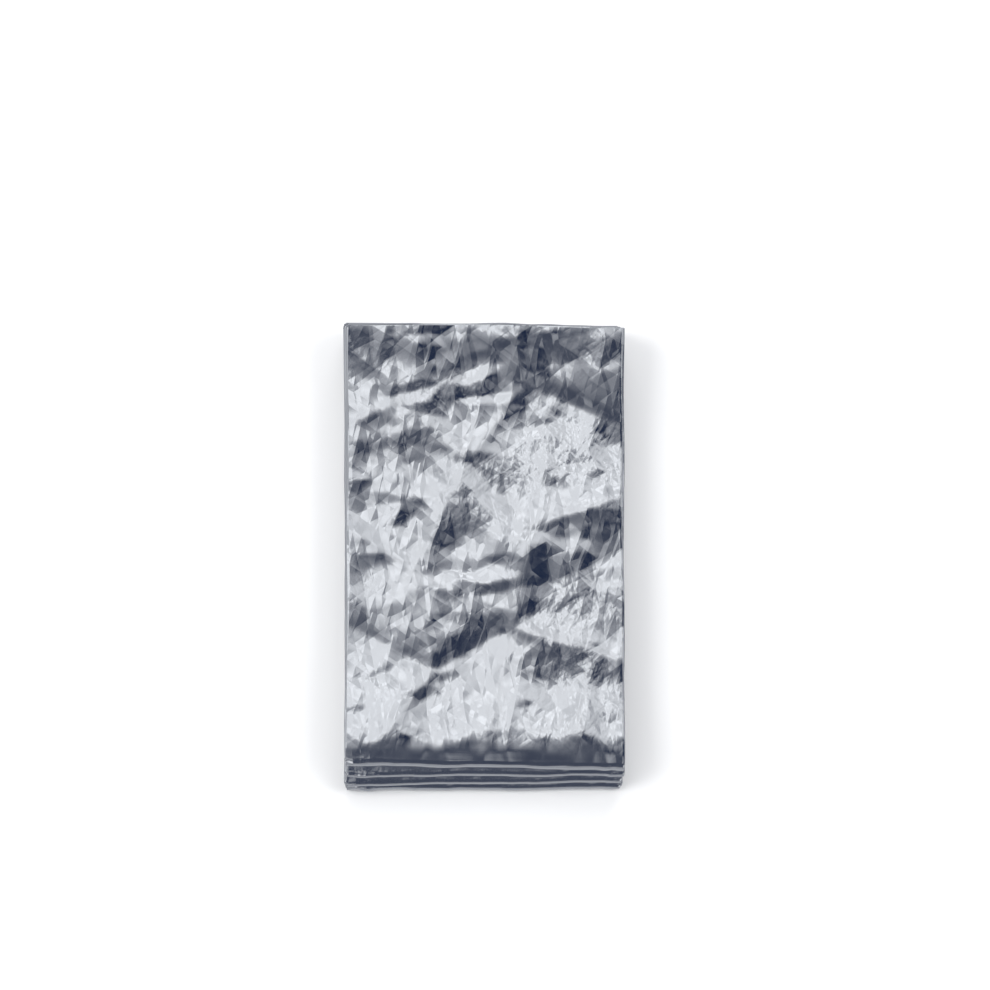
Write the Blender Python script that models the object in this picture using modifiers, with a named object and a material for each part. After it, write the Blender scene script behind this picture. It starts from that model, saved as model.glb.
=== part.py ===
"""A folded emergency foil blanket.

A wide sheet of metallised film is pleated across its width into a narrow strip, and the strip is then
folded back and forth along its length into a flat packet that lies on its back. The blanket is one piece
of film, so it is one solid: each layer here is a thickness of the pleated strip, and it turns into the
next one round a rounded fold, with a narrow gap between layers.

Units are metres, +Z is up through the packet's face and +Y runs from the front end, where the folds show
most, to the back end, where both loose ends of the strip lie.
"""

import math

import bmesh
import bpy

MM = 0.001
NAME = "foil_blanket"

# Driving dimensions
STRIP_WIDTH = 77.0 * MM
HALF_LENGTH = 65.0 * MM
LAYER_THICKNESS = 1.5 * MM
GAP_IN_THE_MIDDLE = 0.42 * MM
GAP_AT_THE_FOLDS = 0.66 * MM
GAP_RIPPLE = 0.07 * MM
FOLD_DEPTH = 1.15

# The stiff folds hold the layers further apart from here to the ends of the packet
FLAT_REACH = 34.0 * MM
PUFFED_REACH = 60.0 * MM

# The packet is squeezed at its front end: each gap there narrows by this much, from here to the end
FRONT_DROOP = 0.24 * MM
DROOP_START = 54.0 * MM

# How far each layer is shifted to the right at the packet's front end and at its back end, in millimetres,
# top layer first. The layers don't lie quite square on each other, so the packet fans out a little.
LAYER_SHIFTS = (
    {"front": 1.2, "back": 0.3},
    {"front": 0.9, "back": -0.2},
    {"front": 1.5, "back": -0.6},
    {"front": 1.0, "back": -1.1},
    {"front": 1.4, "back": -1.5},
    {"front": 0.7, "back": -0.8},
    {"front": 1.1, "back": -1.3},
    {"front": 0.6, "back": -0.9},
)

# How far each end of the strip or fold stays inside the packet's half length, in millimetres, at the left,
# the middle and the right. The path starts at the top layer's loose end, and fold 0 is the top front fold.
LOOSE_ENDS = (
    {"at": "top", "left": 2.3, "middle": 1.5, "right": 2.1},
    {"at": "bottom", "left": 0.9, "middle": 1.3, "right": 0.8},
)
FOLDS = (
    {"at": "front", "left": 6.2, "middle": 5.9, "right": 5.7},
    {"at": "back", "left": 1.0, "middle": 0.5, "right": 1.1},
    {"at": "front", "left": 2.9, "middle": 4.0, "right": 4.2},
    {"at": "back", "left": 0.0, "middle": 0.4, "right": 0.2},
    {"at": "front", "left": 0.7, "middle": 1.8, "right": 2.8},
    {"at": "back", "left": 0.7, "middle": 0.2, "right": 0.5},
    {"at": "front", "left": 0.0, "middle": 0.3, "right": 1.0},
)

# Places where one layer stands off the layer below it, in millimetres from the packet's centre
LIFTS = (
    {"above": 6, "x": -34.0, "y": -52.0, "spread": 15.0, "rise": 0.35},
    {"above": 5, "x": 30.0, "y": -48.0, "spread": 18.0, "rise": 0.30},
    {"above": 4, "x": -30.0, "y": 40.0, "spread": 20.0, "rise": 0.40},
    {"above": 3, "x": 34.0, "y": 10.0, "spread": 18.0, "rise": 0.35},
    {"above": 2, "x": -36.0, "y": -5.0, "spread": 16.0, "rise": 0.40},
    {"above": 1, "x": 26.0, "y": 52.0, "spread": 18.0, "rise": 0.45},
    {"above": 0, "x": -22.0, "y": -30.0, "spread": 22.0, "rise": 0.35},
    {"above": 0, "x": 24.0, "y": 18.0, "spread": 24.0, "rise": 0.40},
)

LAYERS = len(LAYER_SHIFTS)

# How finely the film is divided
STEPS_ACROSS = 14
STEPS_ALONG_A_LAYER = 10
STEPS_ROUND_A_FOLD = 6

FILM_COLOUR = (0.76, 0.79, 0.84, 1.0)
FILM_ROUGHNESS = 0.2


def smooth_step(share):
    """0 below 0 and 1 above 1, with a soft rise between them."""
    share = min(1.0, max(0.0, share))
    return share * share * (3.0 - 2.0 * share)


def mix(first, second, share):
    return first + (second - first) * share


def gap_below(layer, x, y):
    """The gap between a layer and the one under it: wider near the folds, narrowed again at the front end,
    rippled, and lifted in places."""
    puff = smooth_step((abs(y) - FLAT_REACH) / (PUFFED_REACH - FLAT_REACH))
    gap = mix(GAP_IN_THE_MIDDLE, GAP_AT_THE_FOLDS, puff)
    gap -= FRONT_DROOP * smooth_step((-y - DROOP_START) / (HALF_LENGTH - DROOP_START))
    turn = 2.4 * layer
    gap += GAP_RIPPLE * math.sin(x / (11.0 * MM) + turn) * math.cos(y / (17.0 * MM) + 1.7 * turn)
    for lift in LIFTS:
        if lift["above"] == layer:
            away = math.hypot(x / MM - lift["x"], y / MM - lift["y"]) / lift["spread"]
            gap += lift["rise"] * MM * math.exp(-away * away)
    return gap


def height(layer, x, y):
    """The height of a layer's middle: the bottom layer lies flat, and the others rest on it in turn."""
    z = LAYER_THICKNESS / 2.0
    for upper in range(layer, LAYERS - 1):
        z += LAYER_THICKNESS + gap_below(upper, x, y)
    return z


def sideways(layer, x, y):
    """The x of a point of the strip once its layer is shifted."""
    shift = LAYER_SHIFTS[layer]
    back = (y + HALF_LENGTH) / (2.0 * HALF_LENGTH)
    return x + mix(shift["front"], shift["back"], back) * MM


def inset_at(row, across):
    """A fold's or loose end's inset at a place across the packet, on a curve through its three values."""
    left_side = mix(row["left"], row["middle"], smooth_step(2.0 * across))
    return mix(left_side, row["right"], smooth_step(2.0 * across - 1.0)) * MM


def fold_centre(fold, x, across):
    """The y round which a fold turns, and its two radii: along the packet and up it."""
    outward = -1.0 if FOLDS[fold]["at"] == "front" else 1.0
    end = HALF_LENGTH - inset_at(FOLDS[fold], across)
    y = outward * (end - LAYER_THICKNESS)
    rise = (height(fold, x, y) - height(fold + 1, x, y)) / 2.0
    reach = FOLD_DEPTH * rise
    y = outward * (end - LAYER_THICKNESS / 2.0 - reach)
    rise = (height(fold, x, y) - height(fold + 1, x, y)) / 2.0
    return y, outward * reach, rise


def layer_start(layer, x, across):
    """The y at which the path enters a layer."""
    if layer == 0:
        return HALF_LENGTH - inset_at(LOOSE_ENDS[0], across)
    return fold_centre(layer - 1, x, across)[0]


def layer_end(layer, x, across):
    """The y at which the path leaves a layer."""
    if layer == LAYERS - 1:
        return HALF_LENGTH - inset_at(LOOSE_ENDS[1], across)
    return fold_centre(layer, x, across)[0]


def path_stations():
    """The film's rows from the top loose end to the bottom: layer, whether it turns, share of the way."""
    stations = []
    for layer in range(LAYERS):
        for step in range(STEPS_ALONG_A_LAYER + 1):
            # Rows lie closer together near the folds
            share = 0.5 - 0.5 * math.cos(math.pi * step / STEPS_ALONG_A_LAYER)
            stations.append((layer, False, share))
        if layer < LAYERS - 1:
            stations += [(layer, True, step / STEPS_ROUND_A_FOLD) for step in range(1, STEPS_ROUND_A_FOLD)]
    return stations


def film_point(station, across):
    """Where a point of the film's middle surface lies: a row of path_stations, and a share of the width."""
    layer, turns, share = station
    x = (across - 0.5) * STRIP_WIDTH
    if not turns:
        y = mix(layer_start(layer, x, across), layer_end(layer, x, across), share)
        return sideways(layer, x, y), y, height(layer, x, y)
    y, reach, rise = fold_centre(layer, x, across)
    z = (height(layer, x, y) + height(layer + 1, x, y)) / 2.0
    angle = math.pi * share
    return (
        mix(sideways(layer, x, y), sideways(layer + 1, x, y), smooth_step(share)),
        y + reach * math.sin(angle),
        z + rise * math.cos(angle),
    )


def film_material():
    """Metallised film: a bright, slightly blue silver."""
    material = bpy.data.materials.new("silver_film")
    material.use_nodes = True
    shader = material.node_tree.nodes["Principled BSDF"]
    shader.inputs["Base Color"].default_value = FILM_COLOUR
    shader.inputs["Metallic"].default_value = 1.0
    shader.inputs["Roughness"].default_value = FILM_ROUGHNESS
    return material


def make_blanket(collection):
    """The film as a flat grid, bent onto its folded path, and thickened to both sides."""
    stations = path_stations()
    rows = len(stations) - 1
    film = bmesh.new()
    bmesh.ops.create_grid(film, x_segments=STEPS_ACROSS, y_segments=rows, size=0.5)
    for vertex in film.verts:
        across = vertex.co.x + 0.5
        station = stations[round((vertex.co.y + 0.5) * rows)]
        vertex.co = film_point(station, across)
    for face in film.faces:
        face.smooth = True
    mesh = bpy.data.meshes.new(NAME)
    film.to_mesh(mesh)
    film.free()

    blanket = bpy.data.objects.new(NAME, mesh)
    blanket.data.materials.append(film_material())
    collection.objects.link(blanket)

    wall = blanket.modifiers.new("layer_thickness", "SOLIDIFY")
    wall.thickness = LAYER_THICKNESS
    wall.offset = 0.0
    wall.use_even_offset = True
    return blanket


def clear_scene():
    for obj in list(bpy.data.objects):
        bpy.data.objects.remove(obj)


def main():
    clear_scene()
    collection = bpy.data.collections.new("folded_foil_blanket")
    bpy.context.scene.collection.children.link(collection)
    make_blanket(collection)


main()
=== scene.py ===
"""A folded emergency foil blanket, as an add-on: the film, its bright finish and a studio to see it in.

One sheet of metallised film is pleated across its width into a strip of plies, and the strip is folded back
and forth along its length into a packet. The sheet is worked out on a flat grid of two parameters, one along
the strip and one across the film, and each point of the grid is carried onto the folded shape.
"""

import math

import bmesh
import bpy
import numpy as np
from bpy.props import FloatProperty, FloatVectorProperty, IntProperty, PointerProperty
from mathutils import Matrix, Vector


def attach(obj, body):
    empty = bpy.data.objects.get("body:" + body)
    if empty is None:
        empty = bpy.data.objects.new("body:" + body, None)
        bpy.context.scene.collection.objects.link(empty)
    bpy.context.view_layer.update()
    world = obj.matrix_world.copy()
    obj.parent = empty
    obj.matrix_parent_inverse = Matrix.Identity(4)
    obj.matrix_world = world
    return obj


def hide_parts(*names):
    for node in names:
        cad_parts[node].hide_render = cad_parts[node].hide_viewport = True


bl_info = {
    "name": "Folded foil blanket",
    "version": (1, 0, 0),
    "blender": (4, 5, 0),
    "location": "3D View > Sidebar > Foil blanket",
    "description": "Folds a sheet of metallised film into a flat packet and sets it on a studio floor",
    "category": "Object",
}

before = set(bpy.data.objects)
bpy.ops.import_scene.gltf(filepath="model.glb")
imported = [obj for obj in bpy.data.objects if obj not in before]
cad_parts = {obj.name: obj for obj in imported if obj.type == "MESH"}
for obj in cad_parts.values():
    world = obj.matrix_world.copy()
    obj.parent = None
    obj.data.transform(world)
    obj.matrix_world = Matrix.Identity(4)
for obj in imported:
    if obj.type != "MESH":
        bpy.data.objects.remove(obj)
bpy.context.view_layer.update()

MM = 0.001
BLANKET = "foil_blanket_film"

# The folded path, with the names and values of the part's source, so that the film lies where the solid is.

STRIP_WIDTH = 77.0 * MM
HALF_LENGTH = 65.0 * MM
LAYER_THICKNESS = 1.5 * MM
GAP_IN_THE_MIDDLE = 0.42 * MM
GAP_AT_THE_FOLDS = 0.66 * MM
GAP_RIPPLE = 0.07 * MM
FOLD_DEPTH = 1.15
FLAT_REACH = 34.0 * MM
PUFFED_REACH = 60.0 * MM
FRONT_DROOP = 0.24 * MM
DROOP_START = 54.0 * MM

# Millimetres that each layer is shifted to the right: at the front end, at the back end
LAYER_SHIFTS = (
    (1.2, 0.3),
    (0.9, -0.2),
    (1.5, -0.6),
    (1.0, -1.1),
    (1.4, -1.5),
    (0.7, -0.8),
    (1.1, -1.3),
    (0.6, -0.9),
)
LAYERS = len(LAYER_SHIFTS)

# The strip's straight runs and its folds, counted by turns. Run 0 is the top layer, stretch 1 the fold after
# it, and the last stretch the underside.
STRETCHES = 2 * LAYERS - 1

# Roughly how long one run is, and the way round one fold
RUN_LENGTH = 2.0 * HALF_LENGTH - 3.0 * MM
TURN_LENGTH = 4.0 * MM

# Millimetres that each loose end and fold stays inside the packet's half length: left, middle, right.
# Folds with an even number are at the front, and the others at the back.
TOP_END = (2.3, 1.5, 2.1)
BOTTOM_END = (0.9, 1.3, 0.8)
FOLDS = (
    (6.2, 5.9, 5.7),
    (1.0, 0.5, 1.1),
    (2.9, 4.0, 4.2),
    (0.0, 0.4, 0.2),
    (0.7, 1.8, 2.8),
    (0.7, 0.2, 0.5),
    (0.0, 0.3, 1.0),
)

# Where a layer stands off the one below it: the layer, then x, y, spread and rise in millimetres
LIFTS = (
    (6, -34.0, -52.0, 15.0, 0.35),
    (5, 30.0, -48.0, 18.0, 0.30),
    (4, -30.0, 40.0, 20.0, 0.40),
    (3, 34.0, 10.0, 18.0, 0.35),
    (2, -36.0, -5.0, 16.0, 0.40),
    (1, 26.0, 52.0, 18.0, 0.45),
    (0, -22.0, -30.0, 22.0, 0.35),
    (0, 24.0, 18.0, 24.0, 0.40),
)

# The creases of the packet's face: x and y of one end, x and y of the other, the width of
# the flanks and the height, all in millimetres from the face's middle. A negative height is a valley.
FACE_CREASES = (
    (-31.0, -57.0, -13.0, -33.0, 8.0, 0.42),
    (-13.0, -33.0, -19.0, -5.0, 9.0, 0.36),
    (-13.0, -33.0, 8.0, -21.0, 7.0, -0.34),
    (8.0, -21.0, 37.0, -29.0, 8.0, 0.40),
    (8.0, -21.0, 14.0, 7.0, 9.0, 0.42),
    (14.0, 7.0, 38.0, 16.0, 7.0, 0.36),
    (14.0, 7.0, -4.0, 25.0, 8.0, -0.36),
    (-19.0, -5.0, -38.0, 6.0, 7.0, 0.34),
    (-19.0, -5.0, -4.0, 25.0, 10.0, 0.40),
    (-4.0, 25.0, -23.0, 42.0, 8.0, 0.38),
    (-4.0, 25.0, 11.0, 47.0, 7.0, 0.36),
    (11.0, 47.0, 34.0, 37.0, 6.0, -0.30),
    (11.0, 47.0, 7.0, 64.0, 7.0, 0.34),
    (-23.0, 42.0, -38.0, 35.0, 6.0, 0.30),
    (-23.0, 42.0, -25.0, 64.0, 6.0, -0.28),
    (31.0, -25.0, 25.0, -58.0, 8.0, 0.34),
    (-38.0, -20.0, -13.0, -33.0, 6.0, -0.28),
    (1.0, -58.0, 8.0, -21.0, 7.0, 0.30),
)

# How widely the crest of a crease is rounded off, and the bend into the face's deepest dents
CREST_RADIUS = 0.5 * MM
DENT_RADIUS = 0.20 * MM

# How far from a front fold a run begins to change towards it
FRONT_REACH = 9.0 * MM

# The share of the face's relief that is left where its front fold begins, and the share of the way round
# that fold at which nothing is left of it
FACE_AT_FOLD = 0.35
FACE_ENDS = 0.45

# How far in from the left and the right the front folds are crumpled
LEFT_CRUMPLES = 15.0 * MM
RIGHT_CRUMPLES = 9.0 * MM

# Puckers that run up the face from the front fold: x, lean, width, length and height in millimetres
FRONT_PUCKERS = (
    (-33.0, 0.35, 0.9, 9.0, 0.30),
    (-27.5, -0.20, 0.7, 6.0, 0.22),
    (-19.0, 0.45, 1.1, 12.0, 0.30),
    (-9.5, -0.30, 0.8, 7.0, 0.20),
    (-1.0, 0.15, 1.0, 10.0, 0.26),
    (7.5, -0.40, 0.7, 6.0, 0.20),
    (14.0, 0.30, 1.2, 11.0, 0.28),
    (22.0, -0.25, 0.8, 8.0, 0.24),
    (29.0, 0.20, 0.9, 6.0, 0.26),
    (34.5, -0.35, 0.8, 9.0, 0.30),
)


# How finely the film is divided along a run or fold and across a ply, before what shows is cut finer
RUN_ROWS = 9
FACE_ROWS = 94
UNDERSIDE_ROWS = 16
FOLD_ROWS = 8
PLY_COLUMNS = 4
FIRST_PLY_COLUMNS = 58
LAST_PLY_COLUMNS = 20


class FoilFilm(bpy.types.PropertyGroup):
    """The film's folding, creasing and finish."""

    plies: IntProperty(
        name="Plies", description="Plies in each layer of the pleated strip, an even number",
        default=6, min=2, max=12,
    )
    ply_spacing: FloatProperty(
        name="Ply spacing", description="Distance between one ply and the next",
        default=0.28 * MM, unit="LENGTH", precision=5,
    )
    film_thickness: FloatProperty(
        name="Film thickness", description="Thickness that the film is drawn with",
        default=0.05 * MM, unit="LENGTH", precision=5,
    )
    soft_wave: FloatProperty(
        name="Soft wave", description="Height of the face's long soft waves",
        default=0.24 * MM, unit="LENGTH", precision=5,
    )
    large_facets: FloatProperty(
        name="Large facets", description="Height of the facets between the main creases",
        default=0.28 * MM, unit="LENGTH", precision=5,
    )
    small_facets: FloatProperty(
        name="Small facets", description="Height of the small crinkles",
        default=0.18 * MM, unit="LENGTH", precision=5,
    )
    fold_nose: FloatProperty(
        name="Fold nose", description="How far the outer ply of a front fold stands off the plies inside it",
        default=0.30 * MM, unit="LENGTH", precision=5,
    )
    front_slope: FloatProperty(
        name="Front slope", description="How much higher the lower layers lie just behind their front folds",
        default=0.20 * MM, unit="LENGTH", precision=5,
    )
    crumpled_corners: FloatProperty(
        name="Crumpled corners", description="Height of the crumples at the ends of the front folds",
        default=0.55 * MM, unit="LENGTH", precision=5,
    )
    silver: FloatVectorProperty(
        name="Silver", description="Colour of the metallised film",
        default=(0.79, 0.81, 0.85), size=3, min=0.0, max=1.0, subtype="COLOR",
    )
    roughness: FloatProperty(
        name="Roughness", description="Roughness of the film where it isn't creased",
        default=0.09, min=0.0, max=1.0, subtype="FACTOR",
    )


class FoilStage(bpy.types.PropertyGroup):
    """The camera, the floor and the light."""

    camera_distance: FloatProperty(
        name="Camera distance", description="Distance from the lens to the point that it looks at",
        default=1.0, unit="LENGTH",
    )
    camera_tilt: FloatProperty(
        name="Camera tilt", description="Angle of the view from straight down, towards the front end",
        default=math.radians(6.7), unit="ROTATION",
    )
    camera_roll: FloatProperty(
        name="Camera roll", description="Turn of the camera about its own axis",
        default=math.radians(0.6), unit="ROTATION",
    )
    lens: FloatProperty(
        name="Lens", description="Focal length", default=131.6, unit="CAMERA",
    )
    floor: FloatVectorProperty(
        name="Floor", description="Colour of the floor",
        default=(0.90, 0.90, 0.90), size=3, min=0.0, max=1.0, subtype="COLOR",
    )
    lamp_power: FloatProperty(
        name="Lamp power", description="Power of each soft lamp", default=8.5, unit="POWER",
    )


def smooth_step(share):
    """0 below 0, 1 above 1, and three times the square less twice the cube between them."""
    share = np.clip(share, 0.0, 1.0)
    return share * share * (3.0 - 2.0 * share)


def mix(first, second, share):
    """The first value at share 0 and the second at share 1, on a straight line."""
    return first + (second - first) * share


def split(parameter, count):
    """(stretch, share) of a parameter that counts stretches: which of them a place is on, from 0 to one less
    than their count, and the share of that stretch that lies before the place."""
    stretch = np.clip(np.floor(parameter), 0, count - 1).astype(int)
    return stretch, parameter - stretch


def gap_below(layer, x, y):
    """The gap under a layer: one value in the middle and a wider one near the folds, less the droop on a
    smooth step to the front end, plus a ripple that is a sine across times a cosine along, plus a bell shape
    for each lift of this layer."""
    puff = smooth_step((np.abs(y) - FLAT_REACH) / (PUFFED_REACH - FLAT_REACH))
    gap = mix(GAP_IN_THE_MIDDLE, GAP_AT_THE_FOLDS, puff)
    gap -= FRONT_DROOP * smooth_step((-y - DROOP_START) / (HALF_LENGTH - DROOP_START))
    turn = 2.4 * layer
    gap += GAP_RIPPLE * np.sin(x / (11.0 * MM) + turn) * np.cos(y / (17.0 * MM) + 1.7 * turn)
    for lifted, lift_x, lift_y, spread, rise in LIFTS:
        if lifted == layer:
            away = np.hypot(x / MM - lift_x, y / MM - lift_y) / spread
            gap += rise * MM * np.exp(-away * away)
    return gap


def height(layer, x, y):
    """The height of a layer's middle: half a thickness, plus a thickness and a gap for each layer below."""
    z = np.full(np.shape(x), LAYER_THICKNESS / 2.0)
    for upper in range(layer, LAYERS - 1):
        z += LAYER_THICKNESS + gap_below(upper, x, y)
    return z


def sideways(layer, x, y):
    """The x of a point once its layer is shifted, by an amount that changes evenly from front to back."""
    front, back = LAYER_SHIFTS[layer]
    return x + mix(front, back, (y + HALF_LENGTH) / (2.0 * HALF_LENGTH)) * MM


def inset_at(values, across):
    """An inset on a smooth step from its left value to its middle one, and another to its right one."""
    left, middle, right = values
    left_side = mix(left, middle, smooth_step(2.0 * across))
    return mix(left_side, right, smooth_step(2.0 * across - 1.0)) * MM


def fold_centre(fold, x, across):
    """The y round which a fold turns, its reach along y and its half height: the half height is half the
    distance between the two layers there, and the reach is that times the fold's depth."""
    outward = -1.0 if fold % 2 == 0 else 1.0
    end = HALF_LENGTH - inset_at(FOLDS[fold], across)
    y = outward * (end - LAYER_THICKNESS)
    for _ in range(2):
        rise = (height(fold, x, y) - height(fold + 1, x, y)) / 2.0
        reach = FOLD_DEPTH * rise
        y = outward * (end - LAYER_THICKNESS / 2.0 - reach)
    return y, outward * reach, rise


def run_point(layer, share, across):
    """A point of a layer's middle surface, a share of the way from where the strip enters it to where it
    leaves it: y on a straight line between the two, and z the height of the layer there."""
    x = (across - 0.5) * STRIP_WIDTH
    if layer == 0:
        start = HALF_LENGTH - inset_at(TOP_END, across)
    else:
        start = fold_centre(layer - 1, x, across)[0]
    if layer == LAYERS - 1:
        end = HALF_LENGTH - inset_at(BOTTOM_END, across)
    else:
        end = fold_centre(layer, x, across)[0]
    y = mix(start, end, share)
    return np.stack((sideways(layer, x, y), y, height(layer, x, y)), axis=-1)


def turn_point(fold, share, across):
    """A point of a fold's middle surface: half an ellipse from the upper layer to the lower one."""
    x = (across - 0.5) * STRIP_WIDTH
    y, reach, rise = fold_centre(fold, x, across)
    middle = (height(fold, x, y) + height(fold + 1, x, y)) / 2.0
    angle = math.pi * share
    shifted = mix(sideways(fold, x, y), sideways(fold + 1, x, y), smooth_step(share))
    return np.stack((shifted, y + reach * np.sin(angle), middle + rise * np.cos(angle)), axis=-1)


def strip_middle(path, across):
    """The strip's middle surface. path counts runs and folds by turns: 0 to 1 is the top layer, 1 to 2 the
    fold after it, 2 to 3 the second layer, and so on; across is the share of the strip's width."""
    points = np.empty(path.shape + (3,))
    stretch, share = split(path, STRETCHES)
    for number in range(STRETCHES):
        here = stretch == number
        shape = run_point if number % 2 == 0 else turn_point
        points[here] = shape(number // 2, share[here], across[here])
    return points


def strip_normal(path, across):
    """The direction that the first ply faces: the cross product of the middle surface's slopes along and
    across, each taken between two points close on either side."""
    step = 0.01
    along = strip_middle(np.minimum(path + step, STRETCHES), across)
    along -= strip_middle(np.maximum(path - step, 0.0), across)
    side = strip_middle(path, across + step) - strip_middle(path, across - step)
    normal = np.cross(along, side)
    return normal / np.linalg.norm(normal, axis=-1, keepdims=True)


def facets(x, y, cell, seed):
    """A surface broken into flat facets, from about -1 to 1: a net of triangles hangs on a square lattice
    whose points are moved and raised at random, and a point inside a triangle has the mean of its corners'
    heights, weighted by how near each corner is (its barycentric coordinates)."""
    dice = np.random.default_rng(seed)
    column = np.floor(x / cell).astype(int)
    row = np.floor(y / cell).astype(int)
    first = np.array((column.min() - 2, row.min() - 2))
    count = (column.max() - first[0] + 4, row.max() - first[1] + 4)
    corners = np.stack(np.meshgrid(np.arange(count[0]), np.arange(count[1]), indexing="ij"), axis=-1)
    corners = (corners + first + dice.uniform(-0.27, 0.27, corners.shape)) * cell
    heights = dice.uniform(-1.0, 1.0, count)
    result = np.zeros(np.shape(x))
    for step_x in (-1, 0, 1):
        for step_y in (-1, 0, 1):
            i = column + step_x - first[0]
            j = row + step_y - first[1]
            for triangle in (((0, 0), (1, 0), (1, 1)), ((0, 0), (1, 1), (0, 1))):
                a, b, c = (corners[i + u, j + v] for u, v in triangle)
                height_a, height_b, height_c = (heights[i + u, j + v] for u, v in triangle)
                area = (b[..., 0] - a[..., 0]) * (c[..., 1] - a[..., 1])
                area -= (c[..., 0] - a[..., 0]) * (b[..., 1] - a[..., 1])
                near_b = (x - a[..., 0]) * (c[..., 1] - a[..., 1]) - (c[..., 0] - a[..., 0]) * (y - a[..., 1])
                near_c = (b[..., 0] - a[..., 0]) * (y - a[..., 1]) - (x - a[..., 0]) * (b[..., 1] - a[..., 1])
                near_b, near_c = near_b / area, near_c / area
                inside = (near_b >= -1e-9) & (near_c >= -1e-9) & (near_b + near_c <= 1.0 + 1e-9)
                value = height_a + near_b * (height_b - height_a) + near_c * (height_c - height_a)
                result = np.where(inside, value, result)
    return result


def turned(x, y, angle):
    """x and y turned by an angle about the start of the strip's middle line."""
    return x * math.cos(angle) - y * math.sin(angle), x * math.sin(angle) + y * math.cos(angle)


def crease_field(x, y, creases):
    """(height, nearness) of listed creases. A crease is a sharp line between two flanks: its height is
    the square of one less the distance over the flanks' width, and past its ends it fades on a smooth step.
    The distance is rounded off near the line, as a hyperbola rounds off the tip of a wedge. Where creases
    meet, the highest ridge counts, less the deepest valley. Nearness is 1 on the line and falls off as an
    exponential within a millimetre."""
    ridges = np.zeros(np.shape(x))
    valleys = np.zeros(np.shape(x))
    sharp = np.zeros(np.shape(x))
    for x0, y0, x1, y1, width, tall in creases:
        start = np.array((x0, y0)) * MM
        line = np.array((x1, y1)) * MM - start
        length = math.hypot(*line)
        along = ((x - start[0]) * line[0] + (y - start[1]) * line[1]) / length
        off = ((x - start[0]) * line[1] - (y - start[1]) * line[0]) / length
        beyond = np.maximum(np.maximum(-along, along - length), 0.0)
        away = np.sqrt(off**2 + beyond**2 + CREST_RADIUS**2) - CREST_RADIUS
        fade = 1.0 - smooth_step(beyond / (6.0 * MM))
        rise = tall * MM * fade * np.clip(1.0 - away / (width * MM), 0.0, 1.0) ** 2
        ridges = np.maximum(ridges, rise)
        valleys = np.maximum(valleys, -rise)
        sharp = np.maximum(sharp, fade * np.exp(-away / (1.0 * MM)))
    return ridges - valleys, sharp


def pucker_field(x, out_from_fold, puckers):
    """The height of short puckers across a fold: each is a ridge with flanks that fall off as an
    exponential, it leans by a share of the distance from the fold, and it dies away over its length."""
    rise = np.zeros(np.shape(x))
    for centre, lean, width, length, tall in puckers:
        off = np.abs(x / MM - centre - lean * out_from_fold / MM)
        rise += tall * MM * np.exp(-off / width) * np.exp(-((out_from_fold / MM / length) ** 2))
    return rise


def soft_noise(x, y, scale, seed):
    """Long soft waves, mostly between -1 and 1: a third of the sum of six sines, each with a direction, a
    length and a phase of its own."""
    dice = np.random.default_rng(seed)
    total = np.zeros(np.shape(x))
    for _ in range(6):
        direction = dice.uniform(0.0, math.tau)
        length = scale * dice.uniform(0.7, 1.6)
        phase = dice.uniform(0.0, math.tau)
        total += np.sin((x * math.cos(direction) + y * math.sin(direction)) * math.tau / length + phase)
    return total / 3.0


def rounded_maximum(values, low):
    """The larger of two values, rounded off where they cross as a hyperbola is: half of their sum plus the
    root of their difference's square and the radius's square."""
    return 0.5 * (values + low + np.sqrt((values - low) ** 2 + DENT_RADIUS**2))


def front_slope(share, turning):
    """How a layer's upper film slopes down to its front fold, from 1 where it comes out from under the fold
    above to -1.5 where the fold begins, on a straight line over 4 mm, and out again to 0 at the fold's tip.
    Behind that line it dies away on a smooth step over 6 mm."""
    away = (1.0 - share) * RUN_LENGTH / (4.0 * MM)
    run = mix(-1.5, 1.0, np.minimum(away, 1.0)) * (1.0 - smooth_step((away - 1.0) / 1.5))
    turn = -1.5 * (1.0 + 2.4 * share) * (1.0 - smooth_step(2.0 * share))
    return np.where(turning, turn, run)


class StripPlace:
    """Where points lie on the strip: which run or fold they are on, how far along it, and how far from its
    front fold and its two edges."""

    def __init__(self, path, across):
        self.stretch, self.share = split(path, STRETCHES)
        self.turning = self.stretch % 2 == 1
        self.at_front = self.stretch % 4 == 1
        self.at_back = self.stretch % 4 == 3
        self.runs_to_front = self.stretch % 4 == 0
        self.underside = self.stretch == STRETCHES - 1

        # Round a fold a sine, from 0 at its two ends to 1 at its tip, and 0 on a run
        self.round_fold = np.where(self.turning, np.sin(math.pi * self.share), 0.0)
        # On a run, the distance from its front fold, and a smooth step that rises to 1 there
        self.to_front = np.where(self.runs_to_front, 1.0 - self.share, self.share) * RUN_LENGTH
        near_front = smooth_step((FRONT_REACH - self.to_front) / FRONT_REACH)
        self.near_front = np.where(self.turning, self.at_front, near_front)

        # A smooth step that rises to 1 at the left edge, and one that rises to 0.6 at the right edge
        self.film_x = (across - 0.5) * STRIP_WIDTH
        from_left = self.film_x + STRIP_WIDTH / 2.0
        from_right = STRIP_WIDTH / 2.0 - self.film_x
        self.corner = 1.0 - smooth_step(from_left / LEFT_CRUMPLES)
        self.corner += 0.6 * (1.0 - smooth_step(from_right / RIGHT_CRUMPLES))


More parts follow.
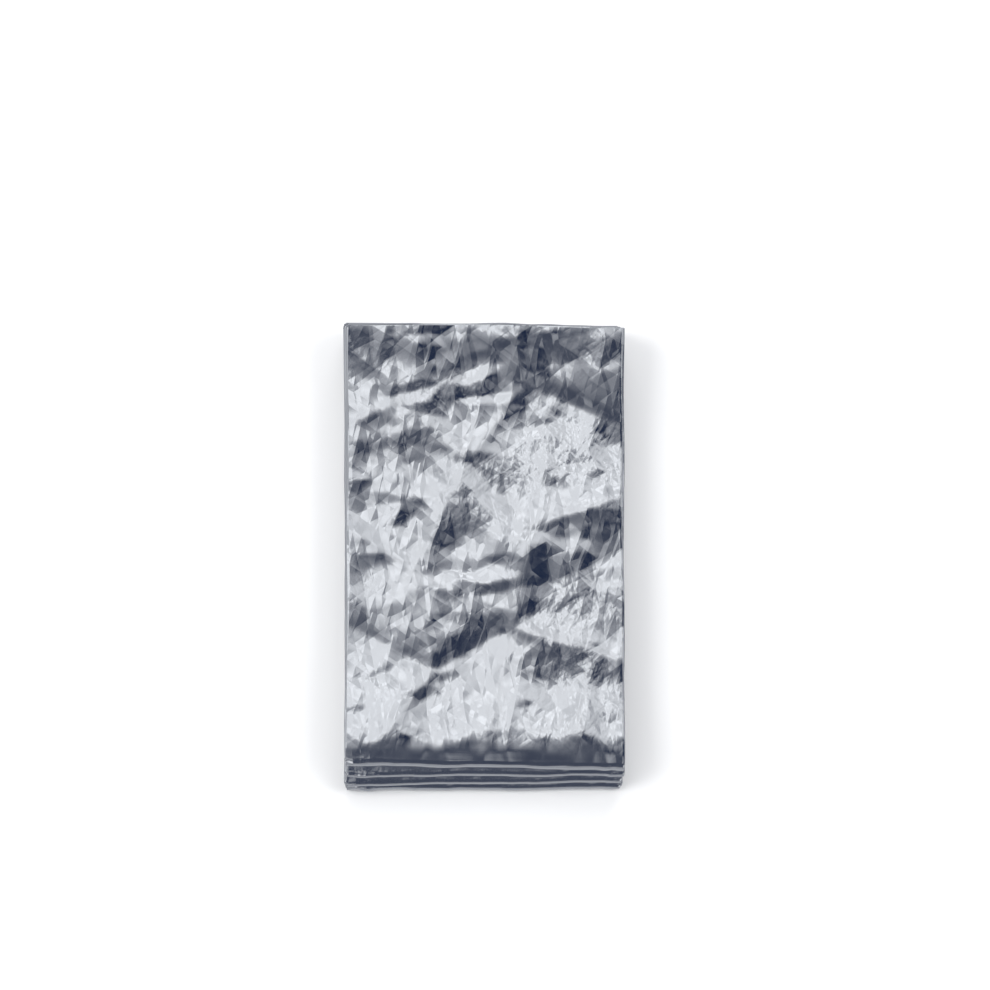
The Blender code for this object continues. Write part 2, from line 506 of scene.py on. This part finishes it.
def share_of_face(place):
    """(how much of the face's relief a point has, how smooth the film has become). The first is 1 on the
    face, and falls on a smooth step over its last 9 mm to 0.35 at the front fold. The second rises from 0 to
    1 on a smooth step from 6 mm to 1.5 mm before the fold. Round the fold both fall to 0 on a smooth step."""
    leaving = 1.0 - smooth_step(place.share / FACE_ENDS)
    relief = np.where(place.stretch == 0, 1.0 - (1.0 - FACE_AT_FOLD) * place.near_front, 0.0)
    relief = np.where(place.stretch == 1, FACE_AT_FOLD * leaving, relief)
    smoothed = np.where(place.stretch == 0, smooth_step((6.0 * MM - place.to_front) / (4.5 * MM)), 0.0)
    smoothed = np.where(place.stretch == 1, leaving, smoothed)
    return relief, smoothed


def film_finish_and_painted_light(place, on_face, smoothed, sharp):
    """(creasing and painted light, crumpling). The first makes the film dull and rough, and it also pales the
    silver: painted light that lifts the shade in the gaps between the layers and lightens the folds and the
    face's creases. It is most inside the packet, where the film has fine wrinkles, up to a smooth step over
    3.5 mm where the film comes out from under a fold. It is less round a fold, and least along a listed
    crease. Crumpling tells how strongly the material's small facets show: 1 on the packet's face, next to
    nothing where the face turns down, a fifth on the other layers, and most where the ends of the front
    folds are crumpled."""
    # Besides dulling the film, this pales its silver as painted light: a little along the face's creases and
    # round the folds, and most in the shaded gaps inside the packet
    creasing = np.where(place.stretch == 0, 0.25 * sharp, 0.0) + 0.6 * place.round_fold
    tucked_in = np.where(place.runs_to_front, smooth_step((place.to_front - 0.5 * MM) / (3.5 * MM)), 1.0)
    tucked_in = np.where(place.turning, 1.0 - smooth_step(place.round_fold / 0.6), tucked_in)
    shows = (place.stretch < 2) | (place.at_front & (place.share < 0.5))
    creasing += 1.8 * np.where(shows, 0.0, tucked_in)
    crumpling = 0.2 + 0.8 * on_face**2 - 0.27 * smoothed + 1.2 * place.corner * place.near_front
    crumpling += np.where(place.at_front, 0.15 * place.round_fold, 0.0)
    return creasing, crumpling


def film_relief(film, place, length_along, points):
    """(rise of the first ply, of the plies next to it, of the last ply, creasing and painted light,
    crumpling), the rises in metres along the strip's normal. The plies between the first and the last follow
    only the soft part of the first one's relief.

    On the packet's face the rise is soft waves, plus large and small facets, plus the listed creases,
    never less than a small dent. Elsewhere it is the facets alone, weakly inside the packet, and more
    strongly round the middle of each fold, where nothing lies against the film. The front folds' outer ply
    also stands off, by the square of a sine round the fold, and the layers below the face slope down to
    their front folds. The ends of the front folds are crumpled: they have dents and points of the finest
    facets, times the smooth steps from the left and the right edge."""
    x, y = points[..., 0], points[..., 1]
    film_x = place.film_x
    large = facets(*turned(film_x, length_along, 0.45), 13.0 * MM, 11)
    small = facets(*turned(film_x, length_along, 0.95), 5.5 * MM, 12)
    fine = facets(*turned(film_x, length_along, 1.35), 2.6 * MM, 13)
    crinkled = smooth_step(0.5 + 0.8 * soft_noise(film_x, length_along, 40.0 * MM, 14))
    wave = film.soft_wave * soft_noise(x, y, 55.0 * MM, 15)
    creases, sharp = crease_field(x, y, FACE_CREASES)
    on_face, smoothed = share_of_face(place)

    face = 0.60 * MM + wave
    face += film.large_facets * large + film.small_facets * small * mix(0.4, 1.2, crinkled)
    face = rounded_maximum(face + creases, -0.15 * MM)

    inside = 0.10 * MM * (0.6 * large + 0.4 * small)
    bulge = 0.18 * MM * large + 0.14 * MM * small + 0.08 * MM * fine
    bulge += 0.13 * MM * soft_noise(film_x, length_along, 20.0 * MM, 16)
    bulge = np.maximum(bulge, -0.12 * MM) * place.round_fold**2
    nose = np.where(place.at_front, film.fold_nose * place.round_fold**2, 0.0)
    lower_front = (place.stretch > 2) & (place.runs_to_front | place.at_front)
    slope = np.where(lower_front, film.front_slope * front_slope(place.share, place.turning), 0.0)

    from_fold = np.where(place.turning, np.abs(place.share - 0.5) * 5.0 * MM, y + HALF_LENGTH - 5.2 * MM)
    puckers = pucker_field(film_x, np.abs(from_fold), FRONT_PUCKERS)
    puckers *= np.where(place.stretch <= 1, 0.6 * on_face, 0.25 * place.round_fold**2)

    crumpled = 0.2 * place.near_front + np.where(place.at_front, 0.8 * place.round_fold**2, 0.0)
    crumples = film.crumpled_corners * place.corner * crumpled * (0.6 * fine + 0.4 * small)
    crumples = np.maximum(crumples, -0.20 * MM)

    first = inside * (1.0 - on_face) + on_face * face + nose + slope
    first += np.where(place.at_front, bulge, 0.0) + puckers + crumples
    between = inside * (1.0 - on_face) + on_face * (0.10 * MM + wave) + 0.7 * nose + slope
    last = -inside - np.where(place.at_back, bulge, 0.0)

    # The underside is pressed flat by the floor: creases only dent it upwards
    dents = -0.10 * MM * np.abs(0.6 * large + 0.4 * small)
    first = np.where(place.underside, dents, first)
    between = np.where(place.underside, dents, between)
    return first, between, last, *film_finish_and_painted_light(place, on_face, smoothed, sharp)


def film_points(film, path, ply):
    """(points, film coordinates, creasing and painted light, crumpling) of the folded film.

    path is the place along the strip, as in strip_middle. ply counts plies and side folds by turns in the
    same way: 0 to 1 is the first ply, from the left edge to the right, 1 to 2 the narrow fold to the second
    ply, 2 to 3 the second ply, and so on. A point lies off the strip's middle surface along its normal, by
    its ply's place in the strip, and the narrow side folds are half ellipses."""
    plies = film.plies
    spacing = film.ply_spacing
    stretch, share = split(ply, 2 * plies - 1)
    number = stretch // 2
    folding = stretch % 2 == 1

    # Along the strip in metres, for whatever must not repeat from layer to layer
    run, part = split(path, STRETCHES)
    length_along = (run // 2) * (RUN_LENGTH + TURN_LENGTH)
    length_along = length_along + np.where(run % 2 == 0, part * RUN_LENGTH, RUN_LENGTH + part * TURN_LENGTH)

    def side_reach(fold):
        """Half the strip's width less an inset that wanders between 0 and 0.9 mm along each side fold, as
        the sum of a long sine and a short one."""
        wander = np.sin(length_along / (23.0 * MM) + 1.9 * fold)
        wander += 0.6 * np.sin(length_along / (7.3 * MM) + 2.7 * fold)
        return STRIP_WIDTH / 2.0 - (0.45 + 0.28 * wander) * MM

    tuck = 1.4 * spacing / 2.0
    left_to_right = number % 2 == 0
    here = np.where(left_to_right, 1.0, -1.0)
    # A ply starts at the side fold before it and ends at the one after it, or at the film's own edge
    start = -here * (side_reach(number - 1) - tuck)
    end = here * (side_reach(number) - tuck)
    sideways_place = np.where(folding, end + here * tuck * np.sin(math.pi * share), mix(start, end, share))
    level = np.where(folding, number + 0.5 - 0.5 * np.cos(math.pi * share), number)
    across = sideways_place / STRIP_WIDTH + 0.5

    # The cut ends of the folded film don't quite line up, and they fan out a little
    ragged = 0.35 * MM * (1.0 + np.sin(1.1 * ply)) / (2.0 * HALF_LENGTH)
    last_run = STRETCHES - 1
    path = np.where(path < 1.0, ragged + path * (1.0 - ragged), path)
    path = np.where(path > last_run, last_run + (path - last_run) * (1.0 - ragged), path)
    fan_top = 0.55 * (1.0 - smooth_step(path / 0.09))
    fan_bottom = 0.20 * (1.0 - smooth_step((STRETCHES - path) / 0.08))

    middle = strip_middle(path, across)
    normal = strip_normal(path, across)
    place = StripPlace(path, across)
    first, between, last, creasing, crumpling = film_relief(film, place, length_along, middle)
    depth = level / (plies - 1)
    half = (plies - 1) * spacing / 2.0
    rise = mix(mix(first, between, smooth_step(level)), last, depth)
    rise = mix(rise, last, 1.0 - smooth_step(plies - 1.0 - level))
    offset = half * (1.0 - 2.0 * depth) + rise
    offset += fan_top * 2.0 * half * (1.0 - depth) - fan_bottom * 2.0 * half * depth
    points = middle + normal * offset[..., None]
    points[..., 2] = np.maximum(points[..., 2], film.film_thickness / 2.0)

    film_across = number * STRIP_WIDTH + np.where(left_to_right, across, 1.0 - across) * STRIP_WIDTH
    film_place = np.stack((film_across, length_along), axis=-1)
    return points, film_place, creasing, crumpling


def stations(stretches):
    """Places along one parameter: each stretch is 1 long and split evenly into its number of steps."""
    steps = [number + np.arange(count) / count for number, count in enumerate(stretches)]
    return np.concatenate(steps + [np.array([float(len(stretches))])])


def flat_film(film):
    """The film as a flat mesh whose x is the ply parameter and y the path parameter: a grid of quads, with
    those of the packet's face and of the outer ply of each fold cut into four."""
    last_ply = 2 * film.plies - 2
    ply_steps = [PLY_COLUMNS] * (last_ply + 1)
    ply_steps[0], ply_steps[-1] = FIRST_PLY_COLUMNS, LAST_PLY_COLUMNS
    path_steps = ([RUN_ROWS, FOLD_ROWS] * LAYERS)[:STRETCHES]
    path_steps[0], path_steps[-1] = FACE_ROWS, UNDERSIDE_ROWS
    across, along = stations(ply_steps), stations(path_steps)

    columns, rows = len(across), len(along)
    x, y = np.meshgrid(across, along)
    corner = (np.arange(rows - 1)[:, None] * columns + np.arange(columns - 1)).ravel()
    faces = np.stack((corner, corner + 1, corner + columns + 1, corner + columns), axis=-1)
    mesh = bpy.data.meshes.new(BLANKET)
    flat = np.stack((x.ravel(), y.ravel(), np.zeros(x.size)), axis=-1)
    mesh.from_pydata(flat, [], faces)

    # The middle of each edge, to tell which edges lie in a part of the film that shows
    ends = np.empty(len(mesh.edges) * 2, np.int32)
    mesh.edges.foreach_get("vertices", ends)
    ply, path = flat[ends.reshape(-1, 2)].mean(axis=1)[:, :2].T
    front_fold = (path % 4.0 >= 1.0) & (path % 4.0 <= 2.0)
    back_fold = (path % 4.0 >= 3.0) | (path % 4.0 == 0.0)
    shows = (ply <= 1.0) & ((path <= 2.0) | front_fold) | (ply >= last_ply) & back_fold & (path > 1.0)
    net = bmesh.new()
    net.from_mesh(mesh)
    net.edges.ensure_lookup_table()
    fine = [net.edges[number] for number in np.flatnonzero(shows)]
    bmesh.ops.subdivide_edges(net, edges=fine, cuts=1, use_grid_fill=True)
    net.to_mesh(mesh)
    net.free()
    return mesh


def folded_film(film):
    """The flat film's points carried onto the folded shape, with its film coordinates as a UV map in metres,
    its creasing and painted light, and its crumpling as attributes."""
    mesh = flat_film(film)
    flat = np.empty(len(mesh.vertices) * 3, np.float32)
    mesh.vertices.foreach_get("co", flat)
    flat = flat.reshape(-1, 3).astype(np.float64)
    points, film_place, creasing, crumpling = film_points(film, flat[:, 1], flat[:, 0])
    mesh.vertices.foreach_set("co", points.astype(np.float32).ravel())

    corner = np.empty(len(mesh.loops), np.int32)
    mesh.loops.foreach_get("vertex_index", corner)
    layout = mesh.uv_layers.new(name="film")
    layout.data.foreach_set("uv", film_place[corner].astype(np.float32).ravel())
    for name, values in (("creasing", creasing), ("crumpling", crumpling)):
        attribute = mesh.attributes.new(name, "FLOAT", "POINT")
        attribute.data.foreach_set("value", values.astype(np.float32))
    mesh.polygons.foreach_set("use_smooth", np.ones(len(mesh.polygons), bool))
    mesh.update()
    return mesh


def give_thickness(context, piece, thickness):
    """Turns an open film into a closed wall, half of it on each side, and keeps the cut edges sharp."""
    wall = piece.modifiers.new("film_thickness", "SOLIDIFY")
    wall.thickness = thickness
    wall.offset = 0.0
    graph = context.evaluated_depsgraph_get()
    closed = bpy.data.meshes.new_from_object(piece.evaluated_get(graph), depsgraph=graph)
    piece.modifiers.clear()
    piece.data = closed
    closed.name = piece.name
    closed.set_sharp_from_angle(angle=math.radians(70.0))


class Shade:
    """A shader socket with arithmetic: each operator adds a Math node and gives that node's result."""

    def __init__(self, tree, socket=None):
        self.tree = tree
        self.socket = socket

    def add(self, kind, settings=None, values=None, output=0):
        """Adds a node of a kind. Its settings come first, a ramp's stops among them as (place, colour)
        pairs, and then its sockets get numbers, colours or links."""
        node = self.tree.nodes.new(kind)
        for name, value in (settings or {}).items():
            if name == "stops":
                ramp = node.color_ramp
                for place, colour in value[2:]:
                    ramp.elements.new(place)
                for element, (place, colour) in zip(ramp.elements, sorted(value)):
                    element.position = place
                    element.color = colour
            else:
                setattr(node, name, value)
        for name, value in (values or {}).items():
            if isinstance(value, Shade):
                self.tree.links.new(value.socket, node.inputs[name])
            else:
                node.inputs[name].default_value = value
        return Shade(self.tree, node.outputs[output]) if node.outputs else None

    def reckon(self, operation, first, second):
        """The result of a Math node's operation on two values."""
        return self.add("ShaderNodeMath", {"operation": operation}, {0: first, 1: second})

    def clamp(self, low, high):
        """The value, but not below the low one and not above the high one."""
        return self.reckon("MINIMUM", self.reckon("MAXIMUM", self, low), high)

    def __add__(self, other):
        return self.reckon("ADD", self, other)

    __radd__ = __add__

    def __sub__(self, other):
        return self.reckon("SUBTRACT", self, other)

    def __rsub__(self, other):
        return self.reckon("SUBTRACT", other, self)

    def __mul__(self, other):
        return self.reckon("MULTIPLY", self, other)

    __rmul__ = __mul__


def new_material(name):
    """A material with an empty node tree."""
    material = bpy.data.materials.new(name)
    material.use_nodes = True
    material.node_tree.nodes.clear()
    return material


# The material's small facets: how many to the metre, their turn, their squeeze, their depth in millimetres,
# and whether they show only where the film is rumpled
SMALL_FACETS = (
    (42.0, 1.90, 1.50, 0.600, False),
    (90.0, 0.35, 1.45, 0.200, False),
    (150.0, 1.15, 1.30, -0.130, False),
    (310.0, 2.00, 1.35, 0.055, True),
    (620.0, 0.80, 1.25, -0.028, True),
)

# The mean of the distance that makes the facets
FACET_MEAN = 0.52

# A paler silver that the film takes, by up to this share, where it is creased and inside the packet: painted
# light that lifts the shade in the gaps between the layers and lightens the folds and creases
CREASED_AND_PAINTED_LIGHT_SILVER = (0.90, 0.91, 0.93, 1.0)
CREASED_AND_PAINTED_LIGHT_SHARE = 0.3


def silver_film(film):
    """Metallised film: a bright, slightly blue silver, broken into small flat facets that meet in straight
    creases, and duller where it is creased, with a paler silver there that is painted light, most in the
    shaded gaps between the layers."""
    material = new_material("silver_film")
    shade = Shade(material.node_tree)
    place = shade.add("ShaderNodeUVMap", {"uv_map": "film"})
    creasing = shade.add("ShaderNodeAttribute", {"attribute_name": "creasing"}, output=2)
    crumpling = shade.add("ShaderNodeAttribute", {"attribute_name": "crumpling"}, output=2)

    def noise(scale, detail=2.0, output=0):
        """Noise on the film's own coordinates, as many waves to the metre as its scale."""
        return shade.add(
            "ShaderNodeTexNoise", {"noise_dimensions": "2D"},
            {"Vector": place, "Scale": scale, "Detail": detail, "Roughness": 0.55}, output,
        )

    bend = shade.add(
        "ShaderNodeVectorMath", {"operation": "MULTIPLY_ADD"},
        {0: noise(45.0, 1.0, 1), 1: (0.004, 0.004, 0.0), 2: place},
    )

    def flat_sided_pits(scale, turn, squeeze):
        """A height that is the distance to the nearest of many scattered points, counted along two axes, so
        that it falls to each point in flat faces. The axes are turned, and one is squeezed. Its mean is
        taken off, so that where the crumpling changes, the surface doesn't lean."""
        squeezed = shade.add(
            "ShaderNodeMapping", None,
            {"Vector": bend, "Rotation": (0.0, 0.0, turn), "Scale": (squeeze, 1.0 / squeeze, 1.0)},
        )
        return shade.add(
            "ShaderNodeTexVoronoi",
            {"voronoi_dimensions": "2D", "feature": "F1", "distance": "MANHATTAN"},
            {"Vector": squeezed, "Scale": scale},
        ) - FACET_MEAN

    rumpled = (3.0 * noise(38.0) - 1.25).clamp(0.08, 1.0)
    relief = 0.0
    for scale, turn, squeeze, depth, only_rumpled in SMALL_FACETS:
        pits = depth * MM * flat_sided_pits(scale, turn, squeeze)
        relief = relief + (rumpled * pits if only_rumpled else pits)
    relief = relief * crumpling
    tilted = shade.add("ShaderNodeBump", None, {"Height": relief, "Strength": 1.0, "Distance": 1.0})
    tone = 0.95 + 0.08 * noise(60.0, 4.0)
    # Painted light: the silver is paled where the film is creased, round its folds, and most in the shaded
    # gaps between the layers
    colour = shade.add(
        "ShaderNodeMix", {"data_type": "RGBA"},
        {
            0: (creasing * CREASED_AND_PAINTED_LIGHT_SHARE).clamp(0.0, CREASED_AND_PAINTED_LIGHT_SHARE),
            6: (*film.silver, 1.0),
            7: CREASED_AND_PAINTED_LIGHT_SILVER,
        }, 2,
    )
    colour = shade.add("ShaderNodeVectorMath", {"operation": "SCALE"}, {0: colour, 3: tone})
    roughness = film.roughness + 0.07 * noise(90.0, 3.0) + 0.16 * creasing
    surface = shade.add(
        "ShaderNodeBsdfPrincipled", None,
        {"Base Color": colour, "Metallic": 1.0, "Roughness": roughness, "Normal": tilted},
    )
    shade.add("ShaderNodeOutputMaterial", None, {"Surface": surface})
    return material


def floor_material(stage):
    """A matt pale floor with a very faint mottle."""
    material = new_material("studio_floor")
    shade = Shade(material.node_tree)
    place = shade.add("ShaderNodeTexCoord", output=3)
    mottle = shade.add("ShaderNodeTexNoise", None, {"Vector": place, "Scale": 4.0, "Detail": 2.0})
    colour = shade.add(
        "ShaderNodeVectorMath", {"operation": "SCALE"}, {0: tuple(stage.floor), 3: 0.99 + 0.02 * mottle}
    )
    surface = shade.add(
        "ShaderNodeBsdfPrincipled", None,
        {"Base Color": colour, "Roughness": 0.9, "Specular IOR Level": 0.1},
    )
    shade.add("ShaderNodeOutputMaterial", None, {"Surface": surface})
    return material


# Half the floor's width
FLOOR_REACH = 3.0

# The middle of the view, right of the packet's middle and behind it, on its face
VIEW_TARGET = (3.2 * MM, 15.9 * MM, 15.5 * MM)

# Soft square lamps aimed at the packet: the name, the place, the width and the share of the lamps' power
LAMPS = (
    ("lamp_left", (-0.75, 0.10, 0.95), 0.70, 1.0),
    ("lamp_right", (0.85, 0.15, 0.95), 0.70, 0.8),
    ("lamp_back", (0.05, 1.00, 0.90), 0.90, 0.9),
)

# What the film sees: the sky and the ground without windows, and the colours of no light and of full light.
# The camera sees the backdrop.
SKY_LIGHT = 0.055
GROUND_LIGHT = 0.36
DARK_COLOUR = (0.0, 0.010, 0.042, 1.0)
BRIGHT_COLOUR = (0.98, 0.99, 1.0, 1.0)
BACKDROP_COLOUR = (0.93, 0.93, 0.94, 1.0)

# Soft windows that the film reflects: the azimuth and elevation of the middle, from the right towards the
# back, the angle from it at which the window has faded out, in degrees, and its brightness. A negative one
# is a dark flag.
WINDOWS = (
    (120.0, 61.0, 41.0, 0.64),
    (8.0, 82.0, 15.0, -0.10),
    (195.0, 78.0, 13.0, -0.08),
    (118.0, 74.0, 12.0, 0.20),
    (98.0, 66.0, 6.0, 0.50),
    (135.0, 83.0, 5.0, 0.50),
    (142.0, 62.0, 6.0, 0.50),
    (84.0, 78.0, 5.0, 0.45),
    (116.0, 50.0, 6.0, 0.60),
    (158.0, 74.0, 5.0, 0.45),
    (40.0, 70.0, 12.0, 0.45),
    (305.0, 72.0, 10.0, 0.30),
    (228.0, 60.0, 12.0, 0.35),
    (20.0, 46.0, 24.0, 0.60),
    (190.0, 48.0, 20.0, 0.55),
    (75.0, 34.0, 18.0, 0.65),
    (128.0, 30.0, 15.0, 0.80),
    (160.0, 20.0, 12.0, 0.50),
    (100.0, 14.0, 12.0, 0.50),
    (48.0, 16.0, 13.0, 0.70),
    (355.0, 20.0, 14.0, 0.55),
    (200.0, 22.0, 14.0, 0.45),
    (178.0, 13.0, 18.0, 0.70),
    (234.0, 28.0, 22.0, 0.95),
    (307.0, 26.0, 22.0, 1.00),
    (330.0, 42.0, 16.0, 0.45),
    (327.0, 10.0, 12.0, 0.50),
    (222.0, 8.0, 12.0, 0.50),
    (250.0, 10.0, 12.0, 0.45),
    (290.0, 8.0, 12.0, 0.45),
    (270.0, 6.0, 16.0, 0.35),
)


def studio_world():
    """Light from all round. The film sees a dim blue-grey sky with soft windows in it, and a grey-blue ground
    below, and the camera sees a plain pale backdrop. A window is brightest in its middle and fades out on a
    smooth step."""
    world = bpy.data.worlds.new("studio")
    world.use_nodes = True
    world.node_tree.nodes.clear()
    shade = Shade(world.node_tree)
    direction = shade.add("ShaderNodeTexCoord")

    def towards(azimuth, elevation):
        """The cosine of the angle between where the world is looked at and a direction in degrees."""
        azimuth, elevation = math.radians(azimuth), math.radians(elevation)
        level = math.cos(elevation)
        way = (level * math.cos(azimuth), level * math.sin(azimuth), math.sin(elevation))
        return shade.add("ShaderNodeVectorMath", {"operation": "DOT_PRODUCT"}, {0: direction, 1: way}, 1)

    def soft_rise(value, low, high):
        """A smooth step from 0 at a low value to 1 at a high one."""
        return shade.add(
            "ShaderNodeMapRange", {"interpolation_type": "SMOOTHSTEP"}, {0: value, 1: low, 2: high}
        )

    light = SKY_LIGHT + GROUND_LIGHT * soft_rise(towards(0.0, -90.0), 0.02, 0.25)
    for azimuth, elevation, faded, brightness in WINDOWS:
        window = soft_rise(towards(azimuth, elevation), math.cos(math.radians(faded)), 1.0)
        light = light + brightness * window
    sky = shade.add(
        "ShaderNodeMix", {"data_type": "RGBA"},
        {0: light.clamp(0.0, 1.0), 6: DARK_COLOUR, 7: BRIGHT_COLOUR}, 2,
    )
    sky = shade.add("ShaderNodeVectorMath", {"operation": "SCALE"}, {0: sky, 3: light.clamp(1.0, 1.5)})
    seen = shade.add("ShaderNodeLightPath")
    colour = shade.add(
        "ShaderNodeMix", {"data_type": "RGBA"}, {0: seen, 6: sky, 7: BACKDROP_COLOUR}, 2
    )
    backdrop = shade.add("ShaderNodeBackground", None, {"Color": colour, "Strength": 1.0})
    shade.add("ShaderNodeOutputWorld", None, {"Surface": backdrop})
    return world


class FOIL_OT_fold_blanket(bpy.types.Operator):
    """Folds the film into the packet and gives it its finish."""

    bl_idname = "foil.fold_blanket"
    bl_label = "Fold the blanket"

    def execute(self, context):
        film = context.scene.foil_film
        blanket = bpy.data.objects.new(BLANKET, folded_film(film))
        context.scene.collection.objects.link(blanket)
        blanket.data.materials.append(silver_film(film))
        give_thickness(context, blanket, film.film_thickness)

        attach(blanket, "root")
        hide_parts("foil_blanket")
        return {"FINISHED"}


class FOIL_OT_set_stage(bpy.types.Operator):
    """Lays the floor, hangs the soft lamps and sets the camera."""

    bl_idname = "foil.set_stage"
    bl_label = "Set the stage"

    def execute(self, context):
        stage = context.scene.foil_stage
        collection = context.scene.collection

        far = FLOOR_REACH
        corners = [(-far, -far, 0.0), (far, -far, 0.0), (far, far, 0.0), (-far, far, 0.0)]
        mesh = bpy.data.meshes.new("studio_floor")
        mesh.from_pydata(corners, [], [(0, 1, 2, 3)])
        floor = bpy.data.objects.new("studio_floor", mesh)
        floor.data.materials.append(floor_material(stage))
        floor.visible_glossy = False
        collection.objects.link(floor)

        for name, place, width, share in LAMPS:
            light = bpy.data.lights.new(name, "AREA")
            light.shape = "SQUARE"
            light.size = width
            light.energy = stage.lamp_power * share
            lamp = bpy.data.objects.new(name, light)
            lamp.visible_glossy = False
            turn = (-Vector(place)).to_track_quat("-Z", "Y")
            lamp.matrix_world = Matrix.Translation(place) @ turn.to_matrix().to_4x4()
            collection.objects.link(lamp)

        context.scene.world = studio_world()
        context.scene.view_settings.view_transform = "Standard"

        tilt = stage.camera_tilt
        place = Vector(VIEW_TARGET) + stage.camera_distance * Vector((0.0, -math.sin(tilt), math.cos(tilt)))
        camera = bpy.data.objects.new("camera", bpy.data.cameras.new("camera"))
        camera.data.lens = stage.lens
        camera.data.sensor_width = 36.0
        standing = Matrix.Translation(place) @ Matrix.Rotation(tilt, 4, "X")
        camera.matrix_world = standing @ Matrix.Rotation(stage.camera_roll, 4, "Z")
        collection.objects.link(camera)
        context.scene.camera = camera
        return {"FINISHED"}


class FOIL_PT_panel(bpy.types.Panel):
    """Lists the blanket's settings and the steps that make it."""

    bl_label = "Foil blanket"
    bl_idname = "FOIL_PT_panel"
    bl_space_type = "VIEW_3D"
    bl_region_type = "UI"
    bl_category = "Foil blanket"

    def draw(self, context):
        for settings, operator in (
            (context.scene.foil_film, "foil.fold_blanket"),
            (context.scene.foil_stage, "foil.set_stage"),
        ):
            box = self.layout.box()
            for name in settings.bl_rna.properties.keys():
                if name not in ("rna_type", "name"):
                    box.prop(settings, name)
            box.operator(operator)


CLASSES = (FoilFilm, FoilStage, FOIL_OT_fold_blanket, FOIL_OT_set_stage, FOIL_PT_panel)


def register():
    for cls in CLASSES:
        bpy.utils.register_class(cls)
    bpy.types.Scene.foil_film = PointerProperty(type=FoilFilm)
    bpy.types.Scene.foil_stage = PointerProperty(type=FoilStage)


def unregister():
    del bpy.types.Scene.foil_stage
    del bpy.types.Scene.foil_film
    for cls in reversed(CLASSES):
        bpy.utils.unregister_class(cls)


def main():
    register()
    bpy.ops.foil.fold_blanket()
    bpy.ops.foil.set_stage()


if __name__ == "__main__":
    main()
